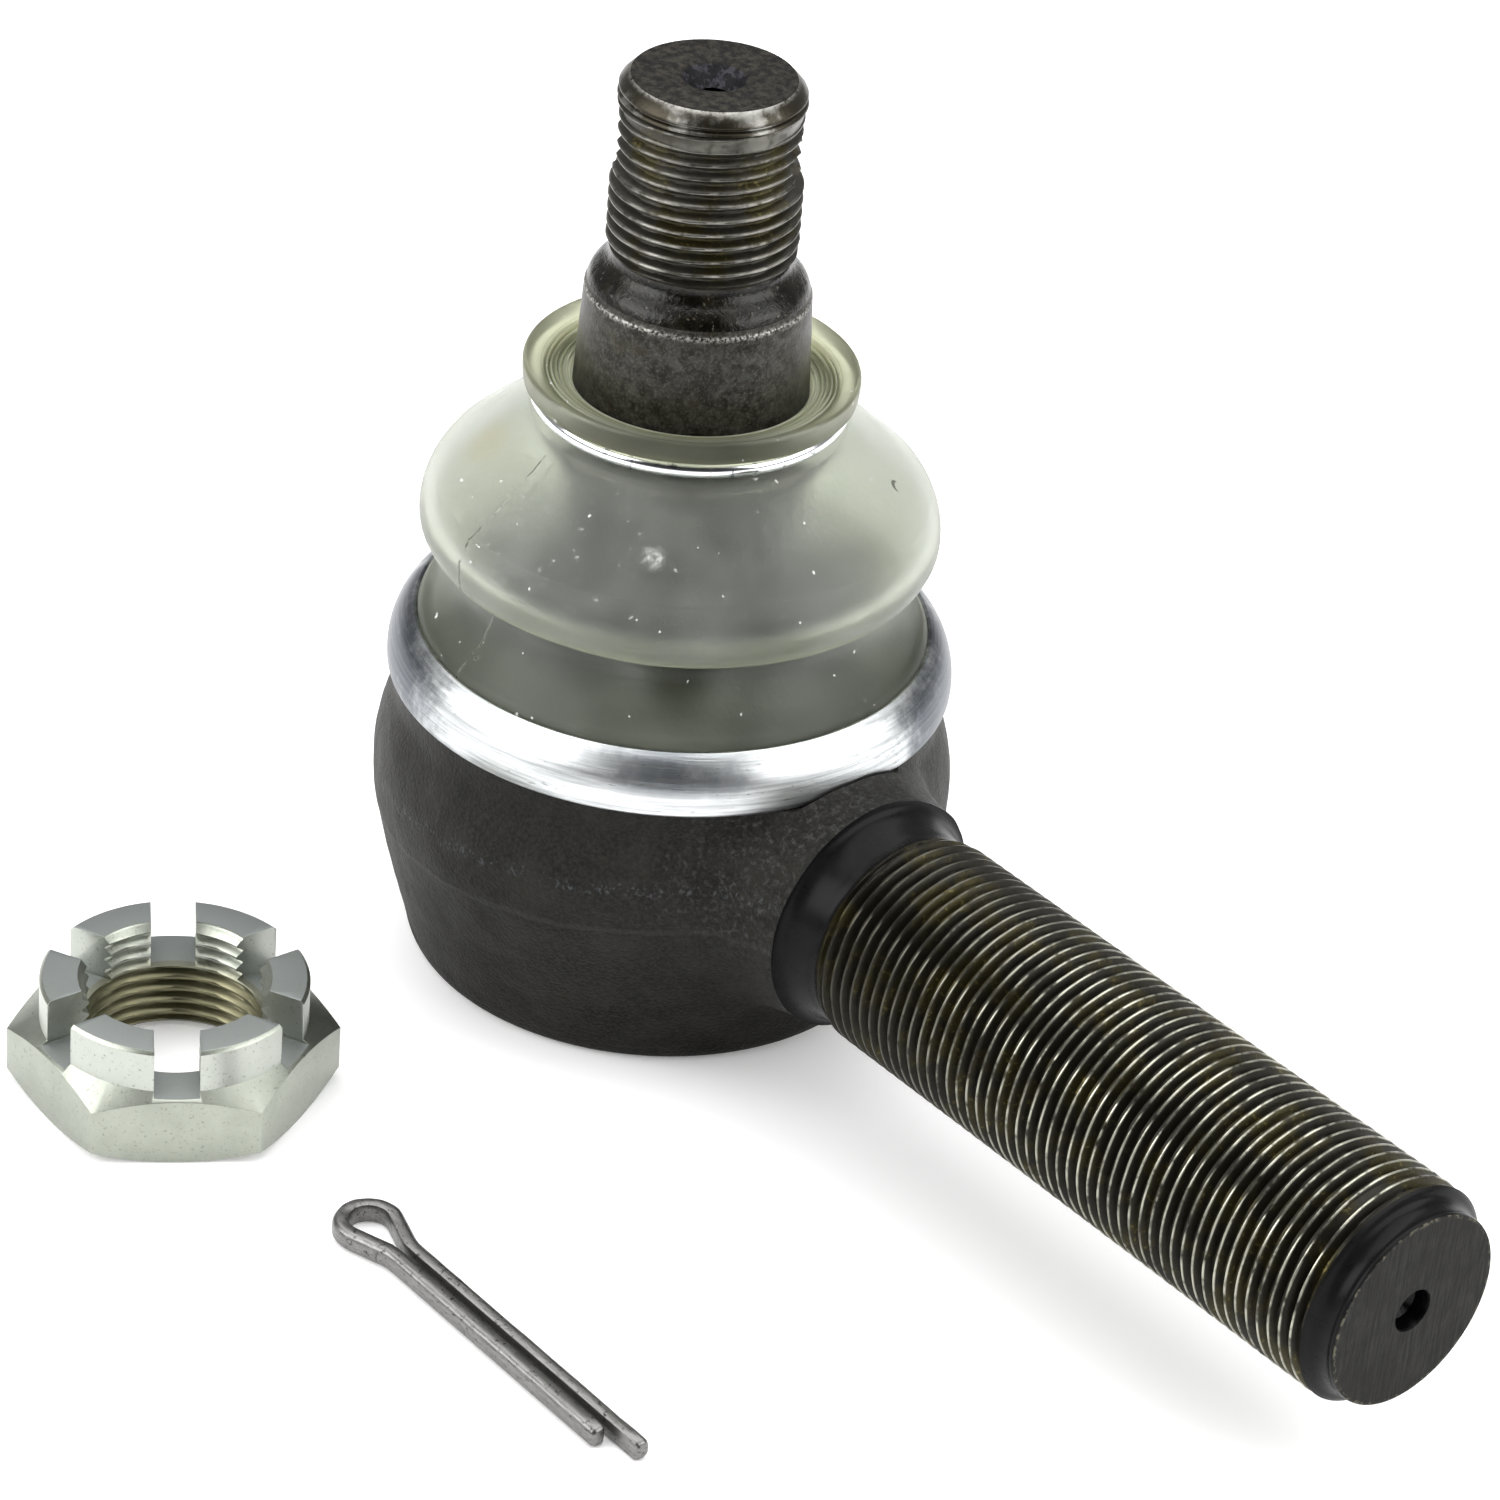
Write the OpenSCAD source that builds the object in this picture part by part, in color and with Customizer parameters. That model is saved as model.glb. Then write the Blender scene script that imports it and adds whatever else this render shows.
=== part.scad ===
// Tie rod end: a ball joint with a threaded shank, with its slotted nut and split pin lying beside it.
// The origin is the centre of the ball. +Z runs up the stud, and +X runs out along the shank.

/* [Housing] */
// Radius of the round forged eye at the height of the ball's centre
eye_r = 31.5; // [31.2:0.1:32]
// Depth of the base below the ball's centre
base_depth = 20.8; // [20.8:0.1:22]
// Radius of the eye just above the base
base_r = 27.1; // [26.8:0.1:28]
// Height of the shoulder that carries the boot's clamp ring
shoulder_z = 12.4; // [12.2:0.1:12.8]
// Radius of the spigot that the boot fits round
spigot_r = 25; // [24.5:0.1:25.2]
// Height of the housing's top face
housing_top = 18.5; // [18:0.1:18.8]

/* [Shank] */
// Major diameter of the shank's thread, M24 x 1.5
shank_d = 24; // [22:0.5:26]
// Distance from the stud's axis to the end of the shank
shank_end = 114.9; // [90:0.1:140]
// Distance from the stud's axis to the start of the shank's thread
shank_start = 41; // [40:0.1:45]
// Radius of the forged boss that the shank grows out of
boss_r = 13.2; // [13:0.1:15]
// Distance from the stud's axis to the face of the boss
boss_end = 35; // [33:0.1:36]

/* [Ball stud] */
// Diameter of the ball
ball_d = 34; // [33:0.1:34]
// Radius of the neck above the ball
neck_r = 9.2; // [8.8:0.1:9.4]
// Height of the wide end of the stud's 1:10 taper
taper_low = 36.5; // [35:0.1:38]
// Height of the narrow end of the taper
taper_high = 58.4; // [57:0.1:59]
// Radius of the narrow end of the taper
taper_r = 11.78; // [11.5:0.01:12]
// Major diameter of the stud's thread, M20 x 1.5
stud_d = 20; // [18:0.5:22]
// Height of the stud's top face
stud_top = 82.1; // [80:0.1:90]
// Height of the split pin hole's axis
pin_hole_z = 74; // [70:0.1:76]
// Diameter of the split pin hole
pin_hole_d = 4; // [3.5:0.1:4.5]
// Direction of the split pin hole, from the shank's direction
pin_hole_turn = 40; // [0:1:180]

/* [Dust boot] */
// Largest radius of the boot's bulge
bulge_r = 27.6; // [27:0.1:28]
// Radius of the lip at the boot's top
lip_r = 17.65; // [17:0.05:18]
// Height of the lip's rim
lip_top = 49.3; // [49:0.1:50]

/* [Slotted nut and split pin] */
// Width across the nut's flats
nut_flats = 30; // [28:0.5:32]
// Height of the nut
nut_h = 13; // [12:0.5:15]
// Diameter of the nut's crown
crown_d = 28; // [26:0.5:29]
// Width of the crown's slots
slot_w = 4.7; // [4:0.1:5]
// Place of the nut's centre along the shank's direction
nut_x = -4.6; // [-40:0.1:10]
// Place of the nut's centre across the shank's direction
nut_y = -60.3; // [-90:0.1:-52]
// Angle of the nut's first corner
nut_turn = -3.2; // [-30:0.1:30]
// Thickness of the split pin's wire
wire_w = 1.65; // [1.4:0.05:1.8]
// Height of the split pin's wire
wire_h = 2.25; // [2:0.05:3]
// Place of the outer end of the split pin's eye
split_x = 25; // [20:0.1:40]
// Place of the split pin's middle across the shank's direction
split_y = -59.2; // [-80:0.1:-52]
// Length from the end of the eye to the tip of the long leg
split_len = 46.9; // [40:0.1:60]

/* [Hidden] */

fine = 96;
eps = 0.01;
base_z = -base_depth;
ball_r = ball_d / 2;
shank_r = shank_d / 2;
stud_r = stud_d / 2;

// Socket inside the housing
run_gap = 0.05;          // clearance between the ball and its seats
body_gap = 0.3;          // clearance between parts that move apart
seat_r = 21.8;           // bore that holds the two seats
seat_top = 10.5;         // top of the upper seat
seat_cone_r = 15.1;      // radius of the upper seat's top face
seat_cone_z = 4.1;       // foot of the upper seat's cone
seat_split = -1.4;       // joint between the two seats
seat_bottom = -13.9;     // underside of the lower seat
mouth_r = 18.5;          // mouth of the housing, where the neck swings
ball_flat = -12.5;       // flat on the underside of the ball
cover_r = 23.2;          // counterbore that holds the end cover
cover_top = -16;         // upper face of the end cover
cover_thick = 2.9;
cover_bottom = cover_top - cover_thick;
roll_r = 20.6;           // inner edge of the rolled lip that holds the cover
seal_leg = 2.6;          // legs of the corner that the cover's seal fills

// Thread ends and stud details
shank_relief_r = 10.95;
shank_chamfer = 3.1;
shank_face_r = 9.86;
centre_hole_r = 2.3;
stud_relief_r = 9.35;
stud_thread_low = 62.9;
stud_chamfer = 1.2;
stud_face_r = 8.4;
taper_low_r = taper_r + (taper_high - taper_low) / 20;

// Clamp ring, a C-shaped channel of sheet steel
sheet = 1.5;
ring_r = 30.35;
ring_mid_z = shoulder_z + 1.2;   // height where the ring starts to curl in
curl_x = 5;              // width of the curl
curl_z = 5.9;            // height of the curl
curl_end = 63;           // angle at which the curl ends

// Wire ring round the boot's neck
wire_r = 1;
wire_mid_r = 15.8;
wire_z = 45.5;

// Nut
nut_bore_r = 9.19;
slot_floor = 7.8;
chamfer_top = 8.2;
chamfer_slope = 0.577;

// Split pin
wire_round = 0.7;
wire_corner = 0.3;
leg_gap = 0.35;
eye_in_r = 2.05;
eye_reach = 5.2;
short_by = 3.9;
split_z = base_z + wire_h / 2;

// Points along an arc about (x, z), from angle a to angle b, with radii rx and rz
function arc(x, z, rx, rz, a, b, n) =
    [for (i = [0 : n]) let (t = a + (b - a) * i / n) [x + rx * cos(t), z + rz * sin(t)]];

// Profile point for turn_about_x: radius r at distance x along the shank
function along(x, r) = [r, x];

module turn_about_x() {
    rotate([0, 90, 0]) rotate_extrude($fn = fine) children();
}

module eye_blank() {
    swell = 22;
    foot = 0.9;
    crease_z = -3;
    waist_z = 9;
    waist_r = 29.8;
    rotate_extrude($fn = fine) polygon(concat(
        [[0, base_z]],
        arc(base_r - foot, base_z + foot, foot, foot, -90, 0, 4),
        arc(eye_r - swell, 0, swell, swell, asin(crease_z / swell), asin(waist_z / swell), 8),
        [[waist_r, shoulder_z], [spigot_r, shoulder_z], [spigot_r, housing_top - 1.5],
         [spigot_r - 0.6, housing_top], [0, housing_top]]));
}

module socket() {
    rotate_extrude($fn = fine) polygon([
        [0, base_z - 1], [roll_r, base_z - 1], [roll_r, cover_bottom], [cover_r, cover_bottom],
        [cover_r, cover_top + 0.1], [seat_r, cover_top + 0.1], [seat_r, seat_cone_z],
        [seat_cone_r, seat_top], [seat_cone_r - 0.4, seat_top + 0.5],
        [mouth_r, housing_top + eps], [0, housing_top + eps]]);
}

module shank_blank() {
    root = 20;
    turn_about_x() polygon([
        along(root, 0), along(root, boss_r + 3), along(28.5, boss_r + 1.2), along(31, boss_r + 0.3),
        along(boss_end, boss_r), along(boss_end + 1, 12.1), along(boss_end + 2.8, shank_relief_r),
        along(shank_start - 1, shank_relief_r), along(shank_start, shank_r),
        along(shank_end - shank_chamfer, shank_r), along(shank_end, shank_face_r),
        along(shank_end, 0)]);
}

module centre_drilling(x) {
    turn_about_x() polygon([
        along(x - 6, 0), along(x - 5, 1), along(x - 1.5, 1), along(x - 0.6, centre_hole_r),
        along(x + 1, centre_hole_r), along(x + 1, 0)]);
}

// Seat turned into the top of the forging for the clamp ring, which also cuts the boss
module ring_seat() {
    rotate_extrude($fn = fine) polygon([
        [spigot_r, shoulder_z], [ring_r + 0.35, shoulder_z], [ring_r + 0.35, housing_top + 4],
        [spigot_r, housing_top + 4]]);
}

module housing() {
    color("#2b2b2d") difference() {
        union() {
            eye_blank();
            shank_blank();
        }
        socket();
        ring_seat();
        centre_drilling(shank_end);
    }
}

module ball_stud() {
    color("#47474a") difference() {
        union() {
            difference() {
                sphere(r = ball_r, $fn = fine);
                translate([0, 0, ball_flat - 20]) cylinder(r = 30, h = 20);
            }
            rotate_extrude($fn = fine) polygon(concat(
                [[0, 0], [neck_r, 0], [neck_r, 27]],
                [[taper_low_r - 1.2, 32.4], [taper_low_r, 33.6], [taper_low_r, taper_low]],
                [[taper_r, taper_high]],
                arc(taper_r + 0.1, stud_thread_low - 0.9, taper_r - stud_relief_r + 0.1,
                    stud_thread_low - taper_high - 1.6, 250, 180, 6),
                [[stud_relief_r, stud_thread_low - 0.6], [stud_r, stud_thread_low],
                 [stud_r, stud_top - stud_chamfer], [stud_face_r, stud_top], [0, stud_top]]));
        }
        rotate_extrude($fn = 48) polygon([
            [0, stud_top - 5], [1.2, stud_top - 4.3], [1.2, stud_top - 2.1], [3.4, stud_top + eps],
            [3.4, stud_top + 1], [0, stud_top + 1]]);
        translate([0, 0, pin_hole_z]) rotate([0, 90, pin_hole_turn])
            translate([0, 0, -20]) cylinder(d = pin_hole_d, h = 40, $fn = 48);
    }
}

module upper_ball_seat() {
    color("#e9e4d2") difference() {
        rotate_extrude($fn = fine) polygon([
            [0, seat_split], [seat_r - 0.05, seat_split], [seat_r - 0.05, seat_cone_z],
            [seat_cone_r, seat_top - 0.1], [0, seat_top - 0.1]]);
        sphere(r = ball_r + run_gap, $fn = fine);
    }
}

module lower_ball_seat() {
    hole_r = 11.2;
    color("#d9d3c0") difference() {
        rotate_extrude($fn = fine) polygon([
            [hole_r, seat_bottom], [seat_r - 0.05, seat_bottom],
            [seat_r - 0.05, seat_split - 0.4], [hole_r, seat_split - 0.4]]);
        sphere(r = ball_r + run_gap, $fn = fine);
    }
}

module preload_disc_spring() {
    thick = 1.1;
    inner = 12;
    outer = 19.8;
    color("#6d6f74") rotate_extrude($fn = fine) polygon([
        [inner, seat_bottom - thick], [outer - 0.6, cover_top], [outer, cover_top],
        [outer, cover_top + thick], [inner + 0.6, seat_bottom], [inner, seat_bottom]]);
}

module end_cover() {
    flange = 0.5;
    edge = cover_r - 0.1;
    color("#8d9094") rotate_extrude($fn = fine) polygon([
        [0, cover_bottom + 0.9], [8.2, cover_bottom + 0.9], [9.2, cover_bottom],
        [edge, cover_bottom], [edge, cover_bottom + flange],
        [cover_r + 0.1 - seal_leg, cover_top], [0, cover_top]]);
}

module cover_seal() {
    cord_r = 0.72;
    mid = 0.76;
    color("#1c1c1c") rotate_extrude($fn = fine)
        translate([cover_r - mid, cover_top + 0.1 - mid]) circle(r = cord_r, $fn = 24);
}

module boot_clamp_ring() {
    mid_x = ring_r - curl_x;
    color("#cfd3d8") rotate_extrude($fn = fine) polygon(concat(
        [[spigot_r, shoulder_z], [ring_r - 0.5, shoulder_z], [ring_r, shoulder_z + 0.5]],
        arc(mid_x, ring_mid_z, curl_x, curl_z, 0, curl_end, 8),
        arc(mid_x, ring_mid_z, curl_x - sheet, curl_z - sheet, curl_end, 6, 8),
        [[ring_r - sheet - 0.1, shoulder_z + sheet], [spigot_r, shoulder_z + sheet]]));
}

module boot_wire_ring() {
    color("#e4e6ea") rotate_extrude($fn = fine)
        translate([wire_mid_r, wire_z]) circle(r = wire_r, $fn = 32);
}

// Outside of the boot from the clamped bead up to the lip, then the inside back down
module dust_boot() {
    bead_low = shoulder_z + sheet + body_gap;
    bead_in = spigot_r + body_gap;
    bead_out = 28.3;
    wall = 2.2;
    bulge_z = 31.2;
    under_round = 4;
    under_mid = bulge_r - under_round;
    over_round = 6.5;
    over_mid = bulge_r - over_round;
    bore_top = 12.7;
    bore_low = 12.95;
    groove_r = wire_mid_r - wire_r - body_gap - 0.05;
    groove_half = wire_r + body_gap + 0.05;
    color("#c9cbb4", 0.75) rotate_extrude($fn = fine) polygon(concat(
        [[bead_in, bead_low], [bead_out, bead_low], [28, 15.3], [27.4, 16.4], [26.6, 17.5],
         [26.7, 19], [26.2, 19.9], [25.2, 21], [24.2, 22.4], [23.4, 23.9], [23.05, 25.3], [23.3, 26.4]],
        arc(under_mid, bulge_z, under_round, under_round, -80, 0, 7),
        arc(over_mid, bulge_z, over_round, over_round, 8, 44, 5),
        [[18.2, 42.1], [17, 43.5], [16.4, wire_z - groove_half], [groove_r, wire_z - groove_half],
         [groove_r, wire_z + groove_half], [17.3, wire_z + groove_half],
         [lip_r, lip_top - 0.4], [lip_r - 0.4, lip_top], [lip_r - 2, lip_top - 0.4],
         [bore_top + 0.4, 47.7], [bore_top, 47.3], [bore_low, 41.9], [15.2, 41.5], [16.8, 40.5]],
        arc(over_mid, bulge_z, over_round - wall, over_round - wall, 44, 0, 5),
        [[25, 29.9], [23.5, 29.1], [21.9, 28.2], [20.9, 26.6], [20.8, 25], [21.4, 23], [22.6, 21],
         [24.2, 19.3], [bead_in, 18.2]]));
}

// Lays a fastener on the surface that the housing stands on
module on_surface(x, y, turn) {
    translate([x, y, base_z]) rotate([0, 0, turn]) children();
}

module nut_blank() {
    corner_r = nut_flats / sqrt(3);
    edge_r = corner_r + 0.2;
    crown_r = crown_d / 2;
    foot_r = nut_flats / 2 - 0.2;
    top_edge = chamfer_top - (edge_r - crown_r) * chamfer_slope;
    foot_edge = (edge_r - foot_r) * chamfer_slope * 0.85;
    intersection() {
        cylinder(r = corner_r, h = chamfer_top, $fn = 6);
        rotate_extrude($fn = fine) polygon([
            [0, 0], [foot_r, 0], [edge_r, foot_edge], [edge_r, top_edge],
            [crown_r, chamfer_top], [0, chamfer_top]]);
    }
    rotate_extrude($fn = fine) polygon([
        [0, 1], [crown_r, 1], [crown_r, nut_h - 0.4], [crown_r - 0.4, nut_h], [0, nut_h]]);
}

module slotted_nut() {
    color("#c4c8c2") on_surface(nut_x, nut_y, nut_turn) difference() {
        nut_blank();
        translate([0, 0, -1]) cylinder(r = nut_bore_r, h = nut_h + 2, $fn = 64);
        translate([0, 0, -eps]) cylinder(r1 = nut_bore_r + 1, r2 = nut_bore_r, h = 0.9, $fn = 64);
        for (i = [0 : 2])
            rotate([0, 0, 30 + 60 * i])
                translate([-nut_flats, -slot_w / 2, slot_floor])
                    cube([2 * nut_flats, slot_w, nut_h]);
    }
}

// Flattened wire section with its flat at y = 0
module flat_wire() {
    top_x = wire_h / 2 - wire_round;
    top_y = wire_w - wire_round;
    low_x = wire_h / 2 - wire_corner;
    polygon(concat(
        arc(top_x, top_y, wire_round, wire_round, 0, 90, 4),
        arc(-top_x, top_y, wire_round, wire_round, 90, 180, 4),
        arc(-low_x, wire_corner, wire_corner, wire_corner, 180, 270, 2),
        arc(low_x, wire_corner, wire_corner, wire_corner, 270, 360, 2)));
}

// A straight wire along +X from the origin, with its round side towards +Y
module straight_wire(length) {
    rotate([90, 0, 90]) linear_extrude(height = length) rotate(-90) flat_wire();
}

module pin_leg(length) {
    translate([0, leg_gap, 0]) straight_wire(length);
}

module split_pin() {
    eye_mid = eye_in_r + wire_w;
    meet = norm([eye_reach, leg_gap]);
    run_angle = acos(eye_in_r / meet) + atan(leg_gap / eye_reach);
    run = sqrt(meet * meet - eye_in_r * eye_in_r);
    neck = eye_mid + eye_reach;
    color("#5d5f61") translate([split_x, split_y, split_z]) {
        translate([eye_mid, 0, 0]) {
            rotate([0, 0, run_angle]) rotate_extrude(angle = 360 - 2 * run_angle, $fn = 48)
                translate([eye_in_r, 0]) rotate(-90) flat_wire();
            for (side = [0, 1])
                mirror([0, side, 0])
                    rotate([0, 0, run_angle - 90])
                        translate([0, eye_in_r, 0]) straight_wire(run + 0.4);
        }
        translate([neck, 0, 0]) pin_leg(split_len - neck);
        translate([neck, 0, 0]) mirror([0, 1, 0]) pin_leg(split_len - neck - short_by);
    }
}

housing();
ball_stud();
upper_ball_seat();
lower_ball_seat();
preload_disc_spring();
end_cover();
cover_seal();
dust_boot();
boot_wire_ring();
boot_clamp_ring();
slotted_nut();
split_pin();
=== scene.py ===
"""Tie rod end with its slotted nut and split pin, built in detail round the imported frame."""
import math

import bmesh
import bpy
import numpy as np
from mathutils import Matrix, Vector, noise


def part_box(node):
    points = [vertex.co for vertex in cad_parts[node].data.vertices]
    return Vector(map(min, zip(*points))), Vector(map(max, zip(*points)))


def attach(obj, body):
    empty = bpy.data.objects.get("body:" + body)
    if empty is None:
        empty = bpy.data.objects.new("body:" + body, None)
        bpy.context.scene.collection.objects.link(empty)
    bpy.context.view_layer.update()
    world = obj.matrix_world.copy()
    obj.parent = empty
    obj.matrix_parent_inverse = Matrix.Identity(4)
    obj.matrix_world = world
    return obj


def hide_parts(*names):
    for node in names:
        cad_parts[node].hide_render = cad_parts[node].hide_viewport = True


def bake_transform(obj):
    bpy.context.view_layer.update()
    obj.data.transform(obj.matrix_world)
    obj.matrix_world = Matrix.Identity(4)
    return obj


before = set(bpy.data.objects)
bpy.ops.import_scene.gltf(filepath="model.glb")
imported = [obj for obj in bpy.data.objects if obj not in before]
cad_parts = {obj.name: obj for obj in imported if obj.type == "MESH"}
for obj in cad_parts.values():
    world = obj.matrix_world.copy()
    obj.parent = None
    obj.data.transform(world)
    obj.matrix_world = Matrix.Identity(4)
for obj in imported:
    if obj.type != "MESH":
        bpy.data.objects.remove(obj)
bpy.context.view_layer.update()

# ---------------------------------------------------------------- sizes, in millimetres
MM = 0.001
TAU = 2 * math.pi


def box_mm(node):
    low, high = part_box(node)
    return Vector(low) / MM, Vector(high) / MM


BASE_Z = box_mm("housing")[0].z
PITCH = 1.5
THREAD_DEPTH = 0.92

SHANK_R = 12.0
SHANK_END = box_mm("housing")[1].x
SHANK_RELIEF_R = 11.2
THREAD_START = 39.6
TIP_LENGTH = 3.1
RELIEF_START = 34.9
# The turned relief, as (distance along the shank, radius)
RELIEF = [(34.95, 13.2), (35.15, 12.75), (35.55, 12.3), (36.2, 11.95), (37.1, 11.65), (38.2, 11.4),
          (39.5, SHANK_RELIEF_R), (44.0, SHANK_RELIEF_R)]

SPIGOT_R = 25.0
SHOULDER_Z = 12.4
RING_R = box_mm("boot_clamp_ring")[1].x

STUD_R = 10.0
STUD_TOP = box_mm("ball_stud")[1].z
BALL_R = box_mm("ball_stud")[1].x
NECK_R = 9.2
TAPER_LOW, TAPER_HIGH, TAPER_R = 36.5, 58.4, 11.78
STUD_ROOT_R = 9.36
STUD_THREAD_LOW, STUD_THREAD_HIGH = 62.5, STUD_TOP - 2.4
STUD_STEP_Z, STUD_BAND_Z = 70.6, 78.0
PIN_HOLE_Z, PIN_HOLE_TURN = 74.0, 40.0
CHIP_TURN, CHIP_R = 32.0, 12.0

# Marks on the boot
PALE_SPOT = (15.3, -16.5, 38.5)
YELLOW_STAIN = (-11.4, -17.6, 39.8)
NECK_SHADOW = (18.2, -14.4, 25.9)
DARK_FLECK = (-1.4, -25.3, 20.8)
HOOK, HOOK_INSIDE = (17.4, 14.3, 38.6), (17.5, 14.7, 38.2)
CREASE_TURN = 1.705

WIRE_LOW, WIRE_HIGH = box_mm("boot_wire_ring")
WIRE_R = (WIRE_HIGH.z - WIRE_LOW.z) / 2
WIRE_MID_R = WIRE_HIGH.x - WIRE_R
WIRE_Z = (WIRE_HIGH.z + WIRE_LOW.z) / 2

NUT_LOW, NUT_HIGH = box_mm("slotted_nut")
NUT_MID = (NUT_LOW + NUT_HIGH) / 2
NUT_H = NUT_HIGH.z - NUT_LOW.z
NUT_TURN = -3.2
NUT_FLATS = 30.0
CROWN_R = 14.0
SLOT_W, SLOT_FLOOR, CHAMFER_TOP = 4.7, 7.8, 8.2

PIN_LOW, PIN_HIGH = box_mm("split_pin")
WIRE_W, WIRE_H = 1.65, PIN_HIGH.z - PIN_LOW.z
LEG_GAP, EYE_IN_R, EYE_REACH, SHORT_BY = 0.35, 2.05, 5.2, 3.9


# ---------------------------------------------------------------- mesh helpers
def make_object(name, verts, faces, smooth_angle=35):
    """A mesh object from points in millimetres, smooth except across edges sharper than smooth_angle."""
    mesh = bpy.data.meshes.new(name)
    mesh.from_pydata((np.asarray(verts, float) * MM).tolist(), [], faces)
    mesh.update()
    obj = bpy.data.objects.new(name, mesh)
    bpy.context.scene.collection.objects.link(obj)
    shade(obj, smooth_angle)
    return obj


def shade(obj, smooth_angle):
    obj.data.polygons.foreach_set("use_smooth", [True] * len(obj.data.polygons))
    obj.data.set_sharp_from_angle(angle=math.radians(smooth_angle))


def grid_faces(rows, steps, closed):
    """Quads between neighbouring rows of points; closed joins the last row to the first."""
    faces = []
    for i in range(rows if closed else rows - 1):
        a, b = i * steps, (i + 1) % rows * steps
        for j in range(steps):
            k = (j + 1) % steps
            faces.append((a + j, a + k, b + k, b + j))
    return faces


def revolve(name, profile, steps, closed=True, radius=None, about="z", smooth_angle=35):
    """Turns (radius, height) points about an axis. The ends of an open profile are capped flat.
    The profile runs anticlockwise seen with the radius to the right and the height up. radius, where
    given, works the radii out anew from radius, height and angle."""
    profile = np.asarray(profile, float)
    angle = np.arange(steps) * TAU / steps
    r = np.repeat(profile[:, :1], steps, axis=1)
    z = np.repeat(profile[:, 1:], steps, axis=1)
    if radius is not None:
        r = radius(r, z, angle[None, :])
    points = np.stack([r * np.cos(angle), r * np.sin(angle), z], axis=2).reshape(-1, 3)
    faces = grid_faces(len(profile), steps, closed)
    if not closed:
        first = list(range(steps))
        last = [(len(profile) - 1) * steps + j for j in range(steps)]
        centre = len(points)
        points = np.vstack([points, [[0, 0, profile[0, 1]], [0, 0, profile[-1, 1]]]])
        faces += [(centre, first[(j + 1) % steps], first[j]) for j in range(steps)]
        faces += [(centre + 1, last[j], last[(j + 1) % steps]) for j in range(steps)]
    if about == "x":
        points = points[:, [2, 0, 1]]
    return make_object(name, points, faces, smooth_angle)


def arc(x, z, rx, rz, start, end, count):
    """Points on an ellipse about (x, z), from start to end in degrees."""
    angles = np.radians(np.linspace(start, end, count))
    return [(x + rx * math.cos(a), z + rz * math.sin(a)) for a in angles]


def rounded(points, per_span):
    """A smooth curve through the points, which are (radius, height) pairs."""
    p = np.asarray(points, float)
    p = np.vstack([2 * p[0] - p[1], p, 2 * p[-1] - p[-2]])
    out = []
    for i in range(1, len(p) - 2):
        for t in np.arange(per_span) / per_span:
            a, b, c, d = p[i - 1], p[i], p[i + 1], p[i + 2]
            out.append(0.5 * (2 * b + (c - a) * t + (2 * a - 5 * b + 4 * c - d) * t**2
                              + (3 * b - a - 3 * c + d) * t**3))
    out.append(p[-2])
    return [tuple(q) for q in out]


def even(points, step):
    """The same line with points no further apart than step."""
    out = [points[0]]
    for a, b in zip(points, points[1:]):
        count = max(1, math.ceil(math.dist(a, b) / step))
        out += [(a[0] + (b[0] - a[0]) * k / count, a[1] + (b[1] - a[1]) * k / count)
                for k in range(1, count + 1)]
    return out


def groove(height, angle, offset=0.0):
    """Depth of a right-hand thread, from 0 on the crests to 1 in the roots."""
    phase = (height - offset) / PITCH - angle / TAU
    away = np.abs(phase - np.round(phase))
    t = np.clip((away - 0.055) / 0.36, 0, 1)
    return np.where(t < 0.85, t, 1 - (1 - t) * (1 - 0.5 * (t - 0.85) / 0.15))


def finish_modifiers(obj):
    """Makes the modified shape the object's own mesh."""
    evaluated = obj.evaluated_get(bpy.context.evaluated_depsgraph_get())
    mesh = bpy.data.meshes.new_from_object(evaluated)
    obj.modifiers.clear()
    obj.data = mesh


def combine(obj, other, operation):
    """Boolean of two closed meshes; other is used up."""
    modifier = obj.modifiers.new("solid", "BOOLEAN")
    modifier.operation = operation
    modifier.solver = "MANIFOLD"
    modifier.object = other
    finish_modifiers(obj)
    bpy.data.objects.remove(other)


def box_cutter(name, low, high, turn):
    """A box in millimetres, turned about the vertical through the origin."""
    corners = [(x, y, z) for z in (low[2], high[2]) for y in (low[1], high[1]) for x in (low[0], high[0])]
    faces = [(0, 2, 3, 1), (4, 5, 7, 6), (0, 1, 5, 4), (2, 6, 7, 3), (0, 4, 6, 2), (1, 3, 7, 5)]
    obj = make_object(name, corners, faces)
    place(obj, (0, 0, 0), turn)
    return obj


def place(obj, centre, turn):
    """Turns the mesh about the vertical by turn degrees, then moves it to centre, in millimetres."""
    rotation = Matrix.Rotation(math.radians(turn), 4, "Z")
    obj.data.transform(Matrix.Translation(Vector(centre) * MM) @ rotation)


def wander(obj, amount, scale, seed, where):
    """Moves the surface in and out by up to amount, over bumps about scale across, in millimetres.
    where gives the share of it that a point gets."""
    mesh = obj.data
    normals = [v.normal.copy() for v in mesh.vertices]
    shift = Vector((seed, 2.3 * seed, 0.7 * seed))
    for v, n in zip(mesh.vertices, normals):
        weight = where(v.co / MM)
        if weight:
            v.co += n * (noise.fractal(v.co / (scale * MM) + shift, 1.0, 2.0, 3) * amount * weight * MM)
    mesh.update()


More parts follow.
